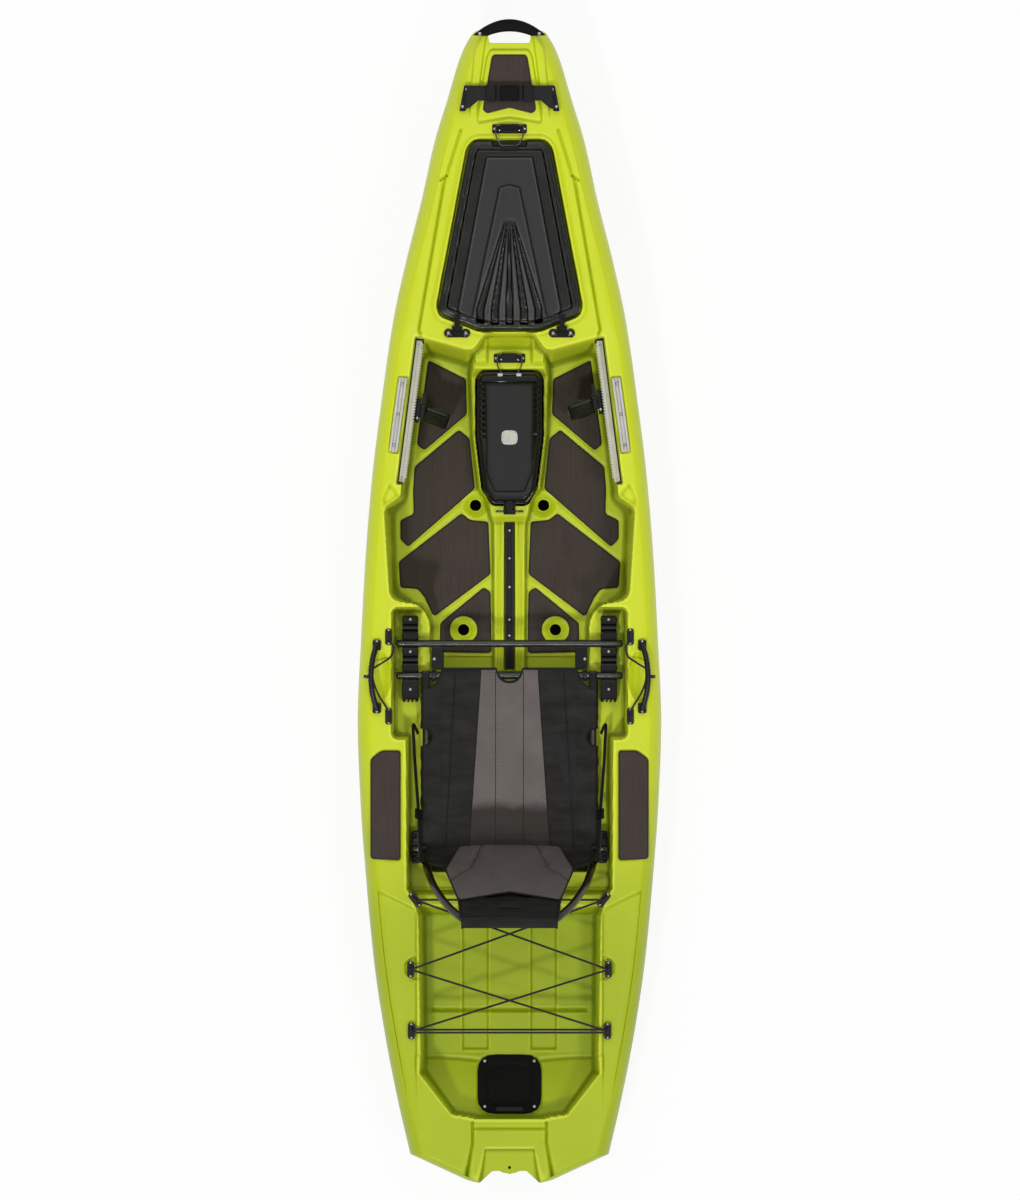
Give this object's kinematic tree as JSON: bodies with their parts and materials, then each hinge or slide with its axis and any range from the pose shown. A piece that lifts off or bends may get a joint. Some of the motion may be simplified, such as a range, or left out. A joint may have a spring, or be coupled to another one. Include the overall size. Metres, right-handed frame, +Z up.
{
  "type": "fishing kayak",
  "caption": "Sit-on-top fishing kayak with a framed folding seat, a latched bow hatch, a console box, gear tracks, sliding foot braces and a laced tank well.",
  "frame": {"origin": "middle of the boat's box on the keel's base plane", "axes": "+Y to the bow, +X to starboard, +Z up"},
  "size_m": [0.8422, 3.225, 0.6593],
  "materials": {
    "hull_plastic": "moulded, satin",
    "foam_pad": "brushed foam, matte",
    "black_plastic": "satin",
    "lid_plastic": "fine grain, matte",
    "black_metal": "powder coated",
    "bare_metal": "brushed",
    "black_fabric": "woven mesh",
    "grey_fabric": "woven, padded",
    "webbing": "woven webbing",
    "cord": "braided cord",
    "rubber": "matte"
  },
  "bodies": {
    "hull": {"bow_handle": "rubber", "bow_pad": "foam_pad", "bow_strap": "webbing", "bow_strap_bracket_left": "black_plastic", "bow_strap_bracket_right": "black_plastic", "bow_strap_buckle": "black_plastic", "center_track": "black_metal", "console_box": "black_plastic", "console_latch_base": "black_plastic", "floor_pad_1_left": "foam_pad", "floor_pad_1_right": "foam_pad", "floor_pad_2_left": "foam_pad", "floor_pad_2_right": "foam_pad", "floor_pad_3_left": "foam_pad", "floor_pad_3_right": "foam_pad", "floor_pad_4_left": "foam_pad", "floor_pad_4_right": "foam_pad", "foot_rail_left": "bare_metal", "foot_rail_right": "bare_metal", "gear_track_left": "bare_metal", "gear_track_right": "bare_metal", "hatch_gasket": "rubber", "hatch_hinge_left": "black_plastic", "hatch_hinge_right": "black_plastic", "hatch_latch_base": "black_plastic", "hull": "hull_plastic", "seat_bracket_rear_left": "black_plastic", "seat_bracket_rear_right": "black_plastic", "seat_rack_left": "black_plastic", "seat_rack_right": "black_plastic", "side_bungee_left": "cord", "side_bungee_right": "cord", "side_handle_left": "rubber", "side_handle_right": "rubber", "side_pad_left": "foam_pad", "side_pad_right": "foam_pad", "stern_plate": "black_plastic", "tankwell_bungee": "cord"},
    "hatch_lid": {"hatch_lid": "lid_plastic"},
    "hatch_latch_lever": {"hatch_latch_lever": "black_plastic"},
    "hatch_bail": {"hatch_bail": "bare_metal"},
    "console_lid": {"console_lid": "lid_plastic"},
    "console_latch_lever": {"console_latch_lever": "black_plastic"},
    "console_bail": {"console_bail": "bare_metal"},
    "foot_brace_left": {"foot_brace_left": "black_plastic"},
    "foot_brace_right": {"foot_brace_right": "black_plastic"},
    "foot_brace_trigger_left": {"foot_brace_trigger_left": "black_plastic"},
    "foot_brace_trigger_right": {"foot_brace_trigger_right": "black_plastic"},
    "seat": {"seat_frame": "black_metal", "seat_base_fabric": "black_fabric", "recline_strap_left": "webbing", "recline_strap_right": "webbing"},
    "seat_front_leg": {"seat_front_leg": "black_metal"},
    "seat_back": {"seat_back_frame": "black_metal", "seat_back_fabric": "black_fabric", "seat_lumbar_pad": "grey_fabric"},
    "drain_plug": {"drain_plug": "black_plastic"}
  },
  "joints": [
    {"name": "hatch_lid_hinge", "type": "hinge", "parent": "hull", "child": "hatch_lid", "pos_m": [0, 0.757, 0.37268], "axis": [1, 0, 0], "range_deg": [0, 100]},
    {"name": "hatch_lever_pivot", "type": "hinge", "parent": "hull", "child": "hatch_latch_lever", "pos_m": [0, 1.30524, 0.40157], "axis": [1, 0, 0], "range_deg": [0, 110]},
    {"name": "hatch_bail_pivot", "type": "hinge", "parent": "hatch_latch_lever", "child": "hatch_bail", "pos_m": [0, 1.31923, 0.40225], "axis": [1, 0, 0], "range_deg": [-165, 0]},
    {"name": "console_lid_hinge", "type": "hinge", "parent": "hull", "child": "console_lid", "pos_m": [0, 0.253, 0.228], "axis": [1, 0, 0], "range_deg": [0, 100]},
    {"name": "console_lever_pivot", "type": "hinge", "parent": "hull", "child": "console_latch_lever", "pos_m": [0, 0.675, 0.2383], "axis": [1, 0, 0], "range_deg": [0, 110]},
    {"name": "console_bail_pivot", "type": "hinge", "parent": "console_latch_lever", "child": "console_bail", "pos_m": [0, 0.689, 0.2383], "axis": [1, 0, 0], "range_deg": [-165, 0]},
    {"name": "foot_brace_slide_left", "type": "slide", "parent": "hull", "child": "foot_brace_left", "axis": [0.1264, 0.992, 0], "range_m": [-0.12, 0.05]},
    {"name": "foot_brace_slide_right", "type": "slide", "parent": "hull", "child": "foot_brace_right", "axis": [-0.1264, 0.992, 0], "range_m": [-0.15, 0.03]},
    {"name": "foot_brace_release_left", "type": "hinge", "parent": "foot_brace_left", "child": "foot_brace_trigger_left", "pos_m": [-0.23861, 0.5466, 0.2583], "axis": [0.992, -0.1264, 0], "range_deg": [0, 18], "stiffness_Nm_per_rad": 0.2, "springref_deg": -2.86},
    {"name": "foot_brace_release_right", "type": "hinge", "parent": "foot_brace_right", "child": "foot_brace_trigger_right", "pos_m": [0.23558, 0.57041, 0.2583], "axis": [0.992, 0.1264, 0], "range_deg": [0, 18], "stiffness_Nm_per_rad": 0.2, "springref_deg": -2.86},
    {"name": "seat_lift", "type": "slide", "parent": "hull", "child": "seat", "axis": [0, 0, 1], "range_m": [0, 0.25]},
    {"name": "front_leg_swing", "type": "hinge", "parent": "seat", "child": "seat_front_leg", "pos_m": [0, -0.204, 0.235], "axis": [1, 0, 0], "range_deg": [0, 75]},
    {"name": "seat_back_fold", "type": "hinge", "parent": "seat", "child": "seat_back", "pos_m": [0, -0.687, 0.261], "axis": [1, 0, 0], "range_deg": [-92, 0], "deforming": ["recline_strap_left", "recline_strap_right"]},
    {"name": "drain_plug_turn", "type": "hinge", "parent": "hull", "child": "drain_plug", "pos_m": [0, -1.5725, 0.215], "axis": [0, 1, 0], "continuous": true}
  ],
  "couplings": [
    {"joint": "hatch_bail_pivot", "follows": "hatch_lever_pivot", "ratio": -1.5},
    {"joint": "console_bail_pivot", "follows": "console_lever_pivot", "ratio": -1.5}
  ]
}
